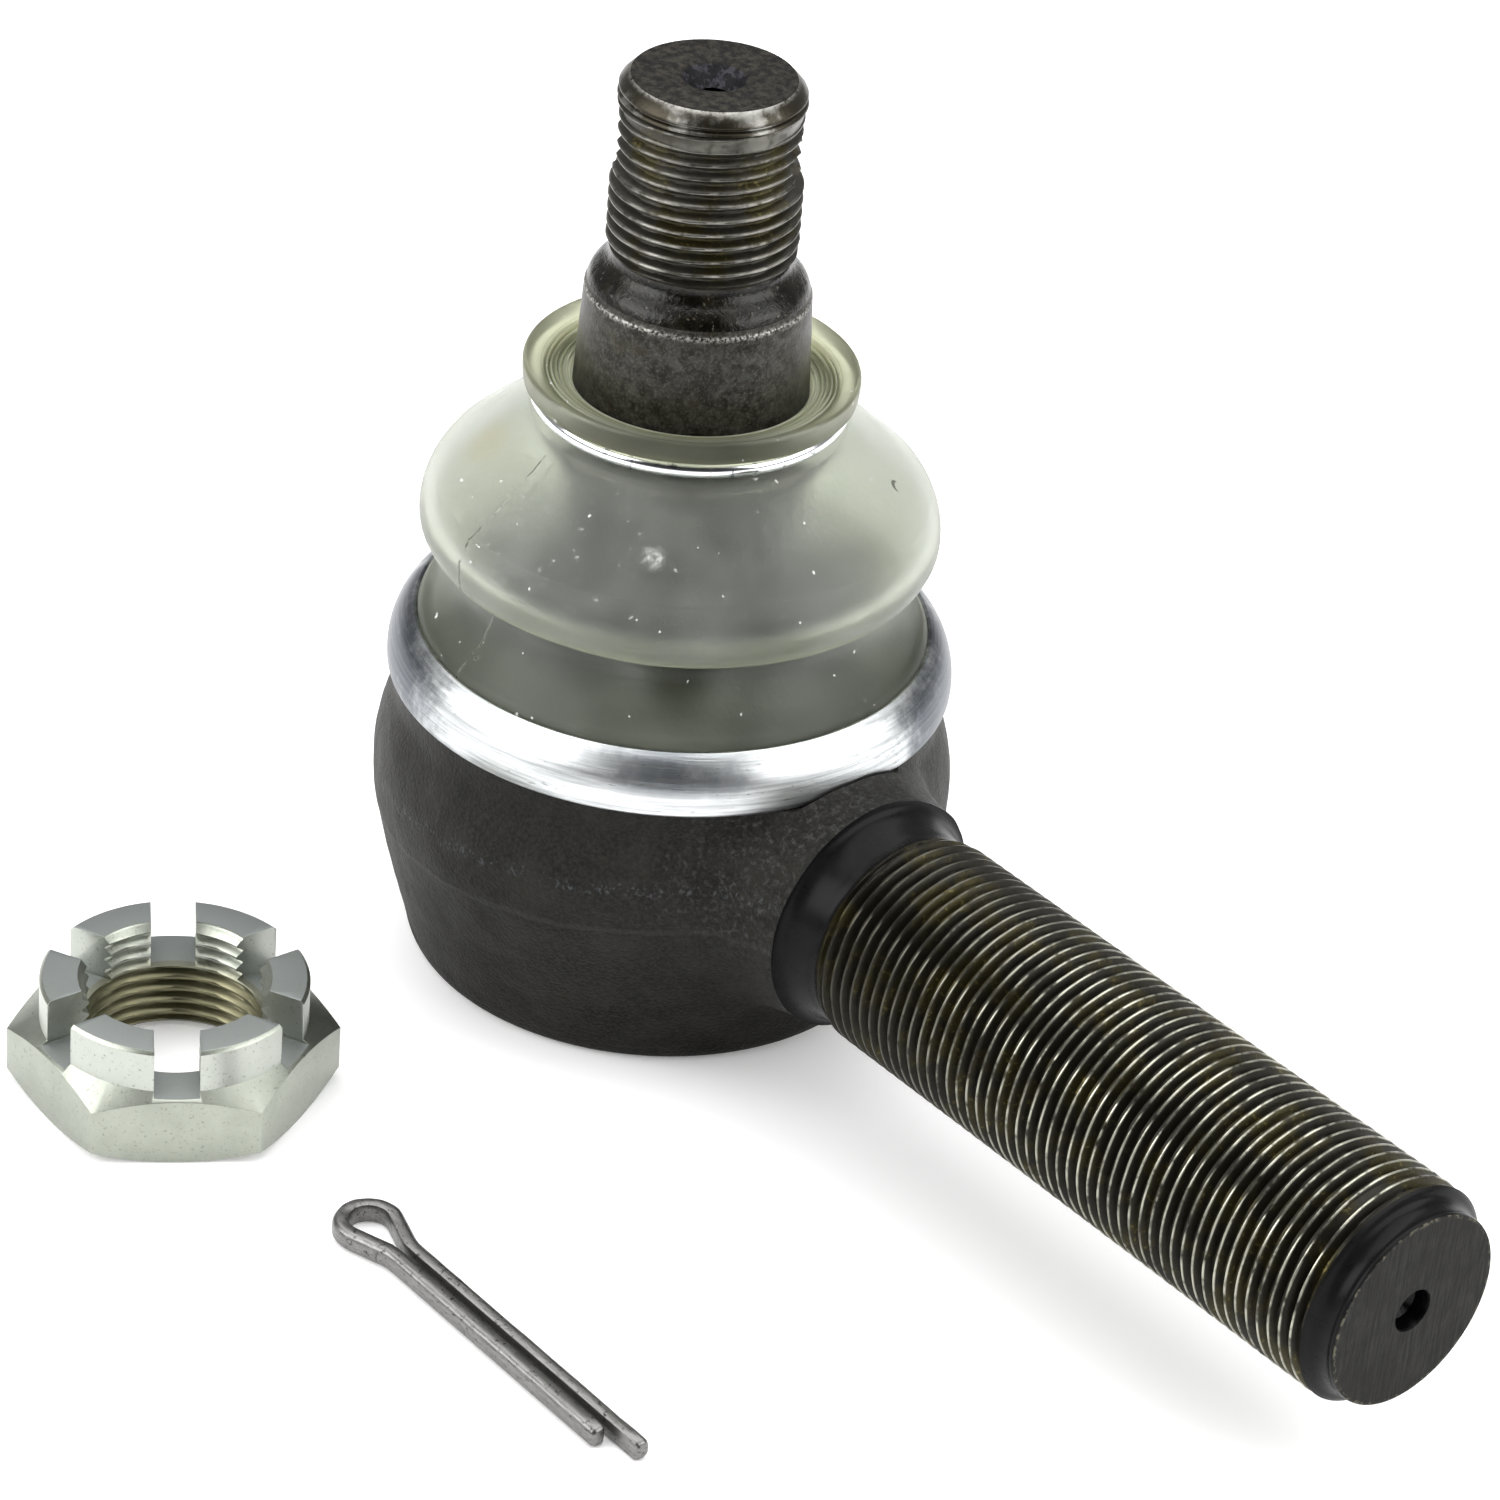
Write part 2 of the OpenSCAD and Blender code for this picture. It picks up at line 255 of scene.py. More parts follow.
# ---------------------------------------------------------------- node helpers
class Shader:
    """A short way to write a node material in millimetre object coordinates."""

    def __init__(self, name):
        self.material = bpy.data.materials.new(name)
        self.material.use_nodes = True
        self.tree = self.material.node_tree
        self.bsdf = self.tree.nodes["Principled BSDF"]
        texco = self.tree.nodes.new("ShaderNodeTexCoord")
        self.place = self.vector("MULTIPLY", texco.outputs["Object"], (1 / MM, 1 / MM, 1 / MM))
        self.x, self.y, self.z = self.split(self.place)

    def put(self, socket, value):
        if isinstance(value, bpy.types.NodeSocket):
            self.tree.links.new(value, socket)
        else:
            socket.default_value = value

    def vector(self, operation, a, b):
        node = self.tree.nodes.new("ShaderNodeVectorMath")
        node.operation = operation
        self.put(node.inputs[0], a)
        self.put(node.inputs[1], b)
        return node.outputs[0]

    def split(self, vector):
        node = self.tree.nodes.new("ShaderNodeSeparateXYZ")
        self.put(node.inputs[0], vector)
        return node.outputs[0], node.outputs[1], node.outputs[2]

    def join(self, x, y, z):
        node = self.tree.nodes.new("ShaderNodeCombineXYZ")
        for socket, value in zip(node.inputs, (x, y, z)):
            self.put(socket, value)
        return node.outputs[0]

    def stretched(self, x, y, z):
        """The place with its coordinates multiplied, for drawn-out noise."""
        return self.join(self.times(self.x, x), self.times(self.y, y), self.times(self.z, z))

    def math(self, operation, a, b=0.0):
        node = self.tree.nodes.new("ShaderNodeMath")
        node.operation = operation
        self.put(node.inputs[0], a)
        self.put(node.inputs[1], b)
        return node.outputs[0]

    def times(self, *values):
        product = values[0]
        for value in values[1:]:
            product = self.math("MULTIPLY", product, value)
        return product

    def plus(self, a, b):
        return self.math("ADD", a, b)

    def minus(self, a, b):
        return self.math("SUBTRACT", a, b)

    def size(self, value):
        return self.math("ABSOLUTE", value)

    def larger(self, a, b):
        return self.math("MAXIMUM", a, b)

    def length(self, a, b):
        return self.math("SQRT", self.plus(self.times(a, a), self.times(b, b)))

    def step(self, value, low, high):
        """Goes smoothly from 0 where value is low to 1 where it is high; low may be the larger of the two."""
        node = self.tree.nodes.new("ShaderNodeMapRange")
        node.interpolation_type = "SMOOTHSTEP"
        self.put(node.inputs["Value"], value)
        node.inputs["From Min"].default_value = low
        node.inputs["From Max"].default_value = high
        return node.outputs["Result"]

    def near(self, point, inner, outer):
        """1 within inner millimetres of the point, 0 beyond outer."""
        node = self.tree.nodes.new("ShaderNodeVectorMath")
        node.operation = "DISTANCE"
        self.put(node.inputs[0], self.place)
        self.put(node.inputs[1], point)
        return self.step(node.outputs["Value"], outer, inner)

    def noise(self, scale, detail, rough, at=None):
        """Noise of about 1/scale millimetres across."""
        node = self.tree.nodes.new("ShaderNodeTexNoise")
        self.put(node.inputs["Vector"], self.place if at is None else at)
        node.inputs["Scale"].default_value = scale
        node.inputs["Detail"].default_value = detail
        node.inputs["Roughness"].default_value = rough
        return node.outputs["Fac"]

    def mix(self, fac, a, b):
        node = self.tree.nodes.new("ShaderNodeMix")
        node.data_type = "RGBA"
        self.put(node.inputs["Factor"], fac)
        self.put(node.inputs["A"], (*a, 1) if isinstance(a, tuple) else a)
        self.put(node.inputs["B"], (*b, 1) if isinstance(b, tuple) else b)
        return node.outputs["Result"]

    def blend(self, fac, a, b):
        """a where fac is 0 and b where it is 1, for numbers."""
        node = self.tree.nodes.new("ShaderNodeMix")
        node.data_type = "FLOAT"
        self.put(node.inputs["Factor"], fac)
        self.put(node.inputs["A"], a)
        self.put(node.inputs["B"], b)
        return node.outputs["Result"]

    def bump(self, height, distance, strength, normal=None):
        """distance in millimetres is how far a height of 1 stands out."""
        node = self.tree.nodes.new("ShaderNodeBump")
        node.inputs["Strength"].default_value = strength
        node.inputs["Distance"].default_value = distance * MM
        self.put(node.inputs["Height"], height)
        if normal is not None:
            self.put(node.inputs["Normal"], normal)
        return node.outputs["Normal"]

    def set(self, **values):
        names = {"color": "Base Color", "metallic": "Metallic", "rough": "Roughness", "normal": "Normal",
                 "transmission": "Transmission Weight", "ior": "IOR", "specular": "Specular IOR Level"}
        for key, value in values.items():
            self.put(self.bsdf.inputs[names[key]], value)
        return self.material


# ---------------------------------------------------------------- materials
def forged_black():
    s = Shader("forged_black")
    grain = s.noise(2.3, 4, 0.65)
    lumps = s.noise(0.22, 3, 0.5)
    near_boss = s.times(s.step(s.x, 20, 29), s.step(s.z, -5, 2))
    high = s.step(s.z, -17, 3)
    tone = s.mix(s.step(grain, 0.36, 0.66), (0.0035, 0.0033, 0.0025), (0.0165, 0.0155, 0.0125))
    tone = s.mix(s.times(s.step(lumps, 0.4, 0.7), 0.4), tone, (0.024, 0.023, 0.019))
    # Light grey flecks, denser near the boss: partly worn grain and partly painted glints on the rough grain.
    specks_and_glints = s.times(s.step(s.noise(1.5, 5, 0.7), 0.48, 0.74), s.blend(near_boss, 0.10, 0.75))
    color = s.mix(specks_and_glints, tone, (0.07, 0.07, 0.07))
    off = s.minus(s.z, s.plus(s.times(s.x, 0.08), lumps))
    ridge = s.step(s.size(s.plus(off, 3.6)), 0.55, 0.05)
    color = s.mix(s.times(ridge, 0.2), color, (0.055, 0.055, 0.05))
    scuff = s.step(s.size(s.minus(off, 1.3)), 1.2, 0.2)
    scuff = s.times(scuff, s.step(s.noise(1.7, 4, 0.7), 0.52, 0.66))
    scuff = s.times(scuff, s.step(s.y, -9, -14), s.step(s.x, -16, -9))
    color = s.mix(s.times(scuff, 0.45), color, (0.11, 0.12, 0.13))
    normal = s.bump(grain, 0.3, 0.9, s.bump(lumps, 0.6, 0.4, s.bump(ridge, 0.14, 0.8)))
    return s.set(color=color, metallic=0.0, rough=s.blend(grain, 0.36, 0.6), normal=normal,
                 specular=s.blend(high, 0.09, 0.17))


def turned_black():
    s = Shader("turned_black")
    around = s.length(s.y, s.z)
    lines = s.noise(1.0, 2, 0.5, at=s.join(s.times(s.x, 6), s.times(around, 6), 0.0))
    haze = s.noise(0.5, 3, 0.6)
    color = s.mix(haze, (0.0035, 0.0035, 0.0035), (0.009, 0.009, 0.0092))
    return s.set(color=color, metallic=0.0, rough=s.blend(haze, 0.24, 0.32), specular=0.08,
                 normal=s.bump(lines, 0.006, 0.3))


def oily_thread(name, radius, along, worn, width, beds, crest_tint):
    """Steel thread with dark oily grooves and yellow glints. Its crests go from dull to worn bright
    between the two distances in worn, along x or z; the pale crests are partly worn bare steel and partly
    painted highlight. radius gives the crests' radius from the shader, width is how far down the flanks
    the pale band reaches, which on the stud stands for painted highlights on the flanks, and beds
    holds the grooves' two tones."""
    s = Shader(name)
    r = s.length(s.y, s.z) if along == "x" else s.length(s.x, s.y)
    reach = s.step(s.x if along == "x" else s.z, *worn)
    wear = s.noise(0.6, 4, 0.6)
    depth = s.minus(radius(s), r)
    # The pale crests: partly worn bare steel, partly painted highlight reaching down the flanks as far as
    # width.
    crest = s.times(s.step(depth, width, 0.03), s.step(wear, 0.28, 0.5))
    oil = s.step(s.noise(0.17, 3, 0.6), 0.45, 0.66)
    glints = s.step(s.noise(1.6, 2, 0.5), 0.6, 0.7)
    bed = s.mix(s.noise(0.8, 3, 0.6), *beds)
    bed = s.mix(oil, bed, (0.034, 0.029, 0.010))
    bed = s.mix(s.times(glints, oil, 0.45), bed, (0.17, 0.14, 0.045))
    bright = s.times(reach, s.step(s.noise(0.3, 3, 0.6), 0.3, 0.6))
    tip = s.mix(bright, (0.056, 0.054, 0.044), crest_tint)
    return s.set(color=s.mix(crest, bed, tip), metallic=s.blend(crest, 0.7, 0.9), specular=0.35,
                 rough=s.blend(crest, 0.4, 0.3), normal=s.bump(s.noise(2.2, 4, 0.6), 0.05, 0.5))


def sawn_end():
    s = Shader("sawn_end")
    streaks = s.noise(1.0, 4, 0.6, at=s.join(0.0, s.times(s.y, 2.6), s.times(s.z, 0.22)))
    blotch = s.noise(0.3, 4, 0.6)
    r = s.length(s.y, s.z)
    color = s.mix(s.step(streaks, 0.35, 0.65), (0.0035, 0.0033, 0.0026), (0.018, 0.0176, 0.0148))
    color = s.mix(s.times(s.step(blotch, 0.4, 0.62), 0.7), color, (0.0055, 0.005, 0.0036))
    nicks = s.times(s.step(r, 10.05, 10.4), s.step(s.noise(1.5, 3, 0.6), 0.5, 0.6))
    color = s.mix(s.times(nicks, 0.7), color, (0.13, 0.12, 0.085))
    # The centre hole painted near black: painted shade in the recess, together with dark oil.
    hole = s.step(r, 2.4, 2.2)
    color = s.mix(hole, color, (0.0025, 0.0024, 0.0028))
    return s.set(color=color, metallic=0.15, rough=s.blend(hole, 0.56, 0.22),
                 normal=s.bump(streaks, 0.08, 0.7, s.bump(blotch, 0.2, 0.5)), specular=0.12)


def stud_steel():
    s = Shader("stud_steel")
    mottle = s.noise(0.75, 6, 0.75)
    fine = s.noise(3.0, 5, 0.7)
    r = s.length(s.x, s.y)
    color = s.mix(s.step(mottle, 0.32, 0.7), (0.014, 0.0125, 0.009), (0.062, 0.060, 0.053))
    color = s.mix(s.times(s.step(fine, 0.5, 0.72), 0.35), color, (0.15, 0.145, 0.13))
    stain = s.step(s.noise(0.2, 3, 0.6), 0.55, 0.7)
    color = s.mix(s.times(stain, 0.5), color, (0.028, 0.022, 0.009))
    edge = s.times(s.step(r, TAPER_R - 0.22, TAPER_R - 0.04),
                   s.step(s.z, TAPER_HIGH + 0.5, TAPER_HIGH - 0.1),
                   s.step(s.z, TAPER_HIGH - 0.7, TAPER_HIGH - 0.1))
    color = s.mix(s.times(edge, s.step(fine, 0.42, 0.62)), color, (0.42, 0.41, 0.38))
    scratches = s.noise(1.0, 3, 0.6, at=s.stretched(1.3, 1.3, 6.0))
    return s.set(color=color, metallic=0.7, rough=s.blend(fine, 0.3, 0.5),
                 normal=s.bump(scratches, 0.04, 0.5, s.bump(fine, 0.08, 0.7)), specular=0.3)


def stud_top_steel():
    s = Shader("stud_top_steel")
    mottle = s.noise(1.1, 6, 0.75)
    r = s.length(s.x, s.y)
    rings = s.noise(1.0, 2, 0.5, at=s.join(s.times(r, 3.5), 0.0, 0.0))
    color = s.mix(s.step(mottle, 0.4, 0.66), (0.0018, 0.0015, 0.0011), (0.04, 0.035, 0.027))
    cone = s.step(r, 3.45, 3.2)
    glints = s.step(s.noise(1.1, 3, 0.6), 0.5, 0.62)
    lit = s.mix(glints, (0.006, 0.0054, 0.0075), (0.04, 0.04, 0.052))
    color = s.mix(s.times(cone, 0.85), color, lit)
    # The centre hole painted near black: painted shade in the hole.
    color = s.mix(s.step(r, 1.6, 1.4), color, (0.001, 0.0009, 0.0008))
    return s.set(color=color, metallic=0.3, rough=s.blend(mottle, 0.34, 0.62), specular=0.2,
                 normal=s.bump(rings, 0.1, 0.6, s.bump(mottle, 0.22, 0.8)))


def bright_chamfer():
    s = Shader("bright_chamfer")
    wear = s.noise(0.2, 5, 0.6)
    fine = s.noise(2.2, 4, 0.65)
    r = s.length(s.x, s.y)
    rim = s.times(s.step(r, 8.9, 8.45), s.step(fine, 0.35, 0.55))
    color = s.mix(s.step(wear, 0.45, 0.62), (0.038, 0.033, 0.023), (0.25, 0.245, 0.225))
    color = s.mix(s.times(rim, 0.6), color, (0.42, 0.41, 0.385))
    return s.set(color=color, metallic=0.85, rough=s.blend(fine, 0.26, 0.4), normal=s.bump(fine, 0.07, 0.5))


def stained_neck():
    s = Shader("stained_neck")
    stain = s.noise(0.45, 5, 0.7)
    # Light specks: painted glints on the glossy, oily neck.
    specks = s.step(s.noise(2.1, 3, 0.6), 0.62, 0.7)
    color = s.mix(s.step(stain, 0.4, 0.65), (0.0018, 0.0014, 0.0006), (0.012, 0.0098, 0.0054))
    color = s.mix(s.times(specks, 0.6), color, (0.11, 0.105, 0.08))
    return s.set(color=color, metallic=0.2, rough=s.blend(stain, 0.14, 0.3), specular=0.36,
                 normal=s.bump(stain, 0.25, 0.7))


def boot_polyurethane():
    s = Shader("boot_polyurethane")
    cloud = s.noise(0.09, 4, 0.6)
    fine = s.noise(1.6, 5, 0.7)
    specks = s.step(s.noise(1.3, 1, 0.4), 0.765, 0.785)
    edge = s.times(s.step(s.z, 26.3, 27.4), s.step(s.z, 30.0, 27.6))
    lip = s.step(s.z, 46.4, 46.8)
    low = s.step(s.z, 26.0, 21.0)
    color = s.mix(cloud, (0.67, 0.695, 0.64), (0.80, 0.82, 0.77))
    color = s.mix(s.times(edge, 0.8), color, (0.80, 0.83, 0.58))
    color = s.mix(s.times(lip, 0.9), color, (0.50, 0.51, 0.36))
    # Painted shade: the lower skirt is darker and greener, for the dark housing inside it and the clamp
    # ring's shadow.
    color = s.mix(s.times(low, 0.6), color, (0.50, 0.54, 0.42))
    neck_shadow = s.times(s.near(NECK_SHADOW, 1.6, 5.6), s.step(s.z, 27.4, 26.4))
    color = s.mix(s.times(neck_shadow, 0.75), color, (0.16, 0.17, 0.11))
    r = s.length(s.x, s.y)
    foot = s.step(s.z, 18.6, 16.6)
    color = s.mix(s.times(foot, 0.8), color, (0.72, 0.75, 0.42))
    turned = s.times(s.step(r, 16.3, 15.2), lip)
    rings = s.step(s.noise(1.0, 1, 0.4, at=s.join(s.times(r, 3.2), 0.0, 0.0)), 0.42, 0.6)
    color = s.mix(s.times(turned, s.blend(rings, 0.25, 0.85)), color, (0.15, 0.15, 0.03))
    pale = s.times(s.near(PALE_SPOT, 0.2, 1.8), s.step(fine, 0.36, 0.75))
    color = s.mix(s.larger(specks, pale), color, (0.9, 0.9, 0.88))
    color = s.mix(s.times(s.near(YELLOW_STAIN, 0.5, 5.0), 0.5), color, (0.66, 0.58, 0.36))
    turn = s.plus(s.math("ARCTAN2", s.y, s.x), CREASE_TURN)
    wavy = s.noise(1.0, 3, 0.6, at=s.join(0.0, 0.0, s.times(s.z, 0.22)))
    away = s.size(s.minus(turn, s.times(wavy, 0.1)))
    crease = s.times(s.step(s.times(away, 25), 0.22, 0.05), s.step(s.noise(0.5, 2, 0.5), 0.4, 0.55))
    marks = s.larger(s.times(crease, s.step(s.z, 45, 43)), s.near(DARK_FLECK, 0.15, 0.4))
    hook = s.minus(s.near(HOOK, 0.7, 0.85), s.near(HOOK_INSIDE, 0.75, 0.9))
    marks = s.larger(marks, s.larger(hook, 0.0))
    color = s.mix(s.times(marks, 0.9), color, (0.03, 0.028, 0.015))
    clear = s.minus(s.blend(s.step(cloud, 0.3, 0.7), 0.95, 0.885), s.times(edge, 0.2))
    clear = s.minus(clear, s.times(s.larger(marks, s.larger(specks, pale)), 0.6))
    return s.set(color=color, rough=s.blend(fine, 0.31, 0.48), transmission=clear, ior=1.27,
                 normal=s.bump(fine, 0.05, 0.5, s.bump(cloud, 0.5, 0.3)))


def zinc_ring():
    """Bright plating with painted reflections: dark bluish at the ring's left and right ends as the camera
    sees it and in its middle, where dark surroundings would be mirrored.
    """
    s = Shader("zinc_ring")
    angle = s.math("ARCTAN2", s.y, s.x)
    r = s.length(s.x, s.y)
    streaks = s.noise(1.0, 5, 0.7, at=s.join(s.times(angle, 2.6), s.times(r, 2.4), s.times(s.z, 2.4)))
    lines = s.noise(1.0, 2, 0.5, at=s.join(s.times(angle, 20), s.times(r, 4.0), s.times(s.z, 4.0)))
    scores = s.step(lines, 0.66, 0.74)
    across = s.size(s.plus(s.times(s.x, 0.634), s.times(s.y, 0.773)))
    cloud = s.noise(0.2, 6, 0.7)
    # Painted reflection: the ring's left and right ends as the camera sees them go dark bluish.
    ends = s.step(s.plus(across, s.times(cloud, 12)), 27.5, 34.5)
    # Painted reflection: a dark bluish patch in the middle of the ring's front.
    middle = s.step(s.minus(s.times(cloud, 24), across), 2, 12)
    middle = s.times(middle, s.step(s.z, SHOULDER_Z + 1.8, SHOULDER_Z + 3.5))
    middle = s.times(middle, s.step(streaks, 0.3, 0.6))
    color = s.mix(s.step(streaks, 0.3, 0.7), (0.46, 0.48, 0.49), (0.84, 0.86, 0.86))
    color = s.mix(s.times(ends, s.blend(streaks, 1.0, 0.8)), color, (0.05, 0.06, 0.078))
    color = s.mix(s.times(middle, 0.75), color, (0.16, 0.185, 0.23))
    color = s.mix(s.times(scores, 0.6), color, (0.15, 0.15, 0.14))
    return s.set(color=color, metallic=1.0, rough=s.blend(streaks, 0.26, 0.4),
                 normal=s.bump(streaks, 0.08, 0.5))


def bright_wire():
    s = Shader("bright_wire")
    marks = s.noise(0.8, 3, 0.6)
    color = s.mix(s.step(marks, 0.62, 0.7), (0.82, 0.84, 0.86), (0.3, 0.31, 0.33))
    return s.set(color=color, metallic=1.0, rough=s.blend(marks, 0.1, 0.2), normal=s.bump(marks, 0.01, 0.3))


def zinc_nut():
    s = Shader("zinc_nut")
    crown_z, floor_z = NUT_LOW.z + CHAMFER_TOP, NUT_LOW.z + SLOT_FLOOR
    geometry = s.tree.nodes.new("ShaderNodeNewGeometry")
    up = s.split(geometry.outputs["True Normal"])[2]
    plated = s.mix(s.noise(0.35, 4, 0.6), (0.275, 0.295, 0.252), (0.39, 0.41, 0.358))
    crown = s.times(s.step(s.z, crown_z - 0.3, crown_z + 0.1), s.step(up, 0.3, 0.1))
    plated = s.mix(s.times(crown, 0.5), plated, (0.56, 0.58, 0.55))
    specks = s.step(s.noise(2.9, 4, 0.65), 0.59, 0.68)
    color = s.mix(s.times(specks, 0.6), plated, (0.12, 0.125, 0.10))
    level = s.times(s.step(up, 0.93, 0.99), s.step(s.z, floor_z - 0.8, floor_z - 0.3))
    color = s.mix(s.times(level, 0.85), color, (0.20, 0.215, 0.215))
    r = s.length(s.minus(s.x, NUT_MID.x), s.minus(s.y, NUT_MID.y))
    inside = s.minus(1.0, s.step(r, 10.0, 10.15))
    deep = s.times(inside, s.minus(1.0, s.step(s.z, NUT_LOW.z + 6.5, NUT_LOW.z + 9.5)))
    color = s.mix(s.times(deep, 0.8), color, (0.15, 0.135, 0.06))
    rough = s.blend(level, s.blend(s.noise(1.2, 3, 0.6), 0.26, 0.4), 0.55)
    return s.set(color=color, metallic=0.92, rough=rough,
                 normal=s.bump(s.noise(2.5, 4, 0.6), 0.03, 0.35))


def drawn_wire():
    s = Shader("drawn_wire")
    streaks = s.noise(1.0, 4, 0.65, at=s.stretched(0.5, 4.5, 4.5))
    spots = s.noise(1.7, 4, 0.7)
    color = s.mix(streaks, (0.06, 0.059, 0.057), (0.30, 0.296, 0.288))
    color = s.mix(s.step(spots, 0.55, 0.7), color, (0.02, 0.019, 0.017))
    return s.set(color=color, metallic=0.9, rough=s.blend(spots, 0.22, 0.4),
                 normal=s.bump(streaks, 0.05, 0.5))


def plain_material(name, dark, light, metallic, rough, grain):
    """A quiet material for the pieces inside the housing."""
    s = Shader(name)
    tone = s.noise(grain, 3, 0.6)
    return s.set(color=s.mix(tone, dark, light), metallic=metallic, normal=s.bump(tone, 0.03, 0.3),
                 rough=s.blend(tone, rough, rough + 0.12))


# ---------------------------------------------------------------- pieces
def stand_for(obj, node, body, slot, *materials):
    """obj takes the CAD node's place with these materials, and rides its body unless body is None."""
    obj.data.materials.clear()
    for material in materials:
        obj.data.materials.append(material)
    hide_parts(node)
    if body:
        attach(obj, body)


def eye_blank():
    """The forged eye with its socket, before the ring seat is cut."""
    outside = [(25.8, BASE_Z), (26.5, BASE_Z + 0.25), (27.0, BASE_Z + 1.2), (27.4, -18.0), (28.2, -15.0),
               (28.97, -12.0), (29.75, -9.0), (30.5, -6.0)]
    outside += arc(9.35, 0, 22, 22, -8, 24, 8)
    outside += [(29.5, 11.0), (29.7, SHOULDER_Z + 0.1), (29.7, SHOULDER_Z + 2.0),
                (SPIGOT_R, SHOULDER_Z + 2.5), (SPIGOT_R, 17.0), (SPIGOT_R - 0.6, 18.4)]
    inside = [(18.5, 18.4), (14.7, 11.0), (15.1, 10.5), (21.8, 4.1), (21.8, -15.9),
              (23.2, -15.9), (23.2, -18.9), (20.6, -18.9), (20.6, BASE_Z)]
    return revolve("housing_body", outside + inside, steps=120)


def build_housing():
    body = eye_blank()
    flare = [(23.0, 17.9), (25.5, 16.4), (28.0, 14.9), (30.5, 14.1), (33.0, 13.5), (39.3, 13.0)]
    boss = revolve("boss", [(r, x) for x, r in flare], steps=96, closed=False, about="x")
    combine(body, boss, "UNION")
    soften(body)
    beyond = 24
    seat_r = RING_R + 0.35
    seat = [(SPIGOT_R, SHOULDER_Z), (seat_r, SHOULDER_Z), (seat_r, beyond), (SPIGOT_R, beyond)]
    combine(body, revolve("seat_cut", seat, steps=160), "DIFFERENCE")
    relief = [(beyond, RELIEF_START), (beyond, RELIEF[-1][0])]
    relief += rounded([(r, x) for x, r in reversed(RELIEF)], 4)
    combine(body, revolve("relief_cut", relief, steps=160, about="x"), "DIFFERENCE")
    combine(body, build_shank(), "UNION")
    body.name = body.data.name = "housing_body"
    shade(body, 32)
    thread = oily_thread("shank_thread_steel", lambda s: SHANK_R, "x", (45, 74), 0.16,
                         ((0.007, 0.0065, 0.0045), (0.024, 0.022, 0.016)), (0.41, 0.405, 0.335))
    stand_for(body, "housing", "housing", "black_forging",
              forged_black(), turned_black(), thread, sawn_end())
    paint_housing(body)


def soften(body):
    """Gives the forging rounded corners and a slightly uneven skin."""
    remesh = body.modifiers.new("even", "REMESH")
    remesh.mode, remesh.voxel_size = "VOXEL", 0.45 * MM
    smooth = body.modifiers.new("soft", "SMOOTH")
    smooth.factor, smooth.iterations = 0.5, 10
    finish_modifiers(body)
    wander(body, 0.16, 7.0, 3.1, lambda p: 1.0 if math.hypot(p.x, p.y) > 26.2 and p.z > BASE_Z + 2 else 0.0)


def build_shank():
    end = SHANK_END
    rows = even([(SHANK_RELIEF_R, 33.0), (SHANK_RELIEF_R, 39.5)], 0.6)
    rows += [(SHANK_RELIEF_R + 0.02, x) for x in np.arange(THREAD_START, end - TIP_LENGTH, PITCH / 12)]
    tip = [(11.95, end - TIP_LENGTH), (11.6, end - 2.85), (11.05, end - 2.55), (10.65, end - 2.1),
           (10.45, end - 1.5), (10.45, end - 0.9), (10.6, end - 0.4), (10.5, end)]
    hole = [(2.35, end), (2.25, end - 0.3), (1.9, end - 1.6), (1.1, end - 2.2), (1.0, end - 5.2),
            (0.02, end - 6.0)]
    rows += rounded(tip, 4) + [(6.0, end)] + hole
    return revolve("shank", rows, steps=144, closed=False, radius=shank_thread, about="x", smooth_angle=50)


def shank_thread(r, x, angle):
    """The radius with the thread cut into it; its first turns are shallow, its last crest is chamfered."""
    low, high = THREAD_START - 0.05, SHANK_END - TIP_LENGTH
    first = SHANK_RELIEF_R + 1.05 * np.clip((x - low) / 3.2, 0, 1) ** 0.7
    last = SHANK_R - 0.35 * np.clip((x - (high - 0.9)) / 0.9, 0, 1)
    cut = np.minimum(np.minimum(first, last), SHANK_R - THREAD_DEPTH * groove(x, angle, 0.17))
    return np.where((x > low) & (x < high), np.maximum(cut, SHANK_RELIEF_R * 0.99), r)


def paint_housing(body):
    turned, threaded, sawn = 1, 2, 3
    thread_r = SHANK_R + 0.2
    for face in body.data.polygons:
        c = face.center / MM
        r = math.hypot(c.y, c.z)
        if c.x > SHANK_END - 0.05 or (c.x > SHANK_END - 3 and r < 3):
            face.material_index = sawn
        elif c.x > SHANK_END - TIP_LENGTH and r < thread_r:
            face.material_index = turned
        elif c.x > THREAD_START + 0.1 and r < thread_r:
            face.material_index = threaded
        elif c.x > RELIEF_START and on_relief(c.x, r):
            face.material_index = turned


def on_relief(x, r):
    """Whether a point this far along the shank, at this radius, lies on the turned relief."""
    return abs(r - np.interp(x, [p[0] for p in RELIEF], [p[1] for p in RELIEF])) < 0.22


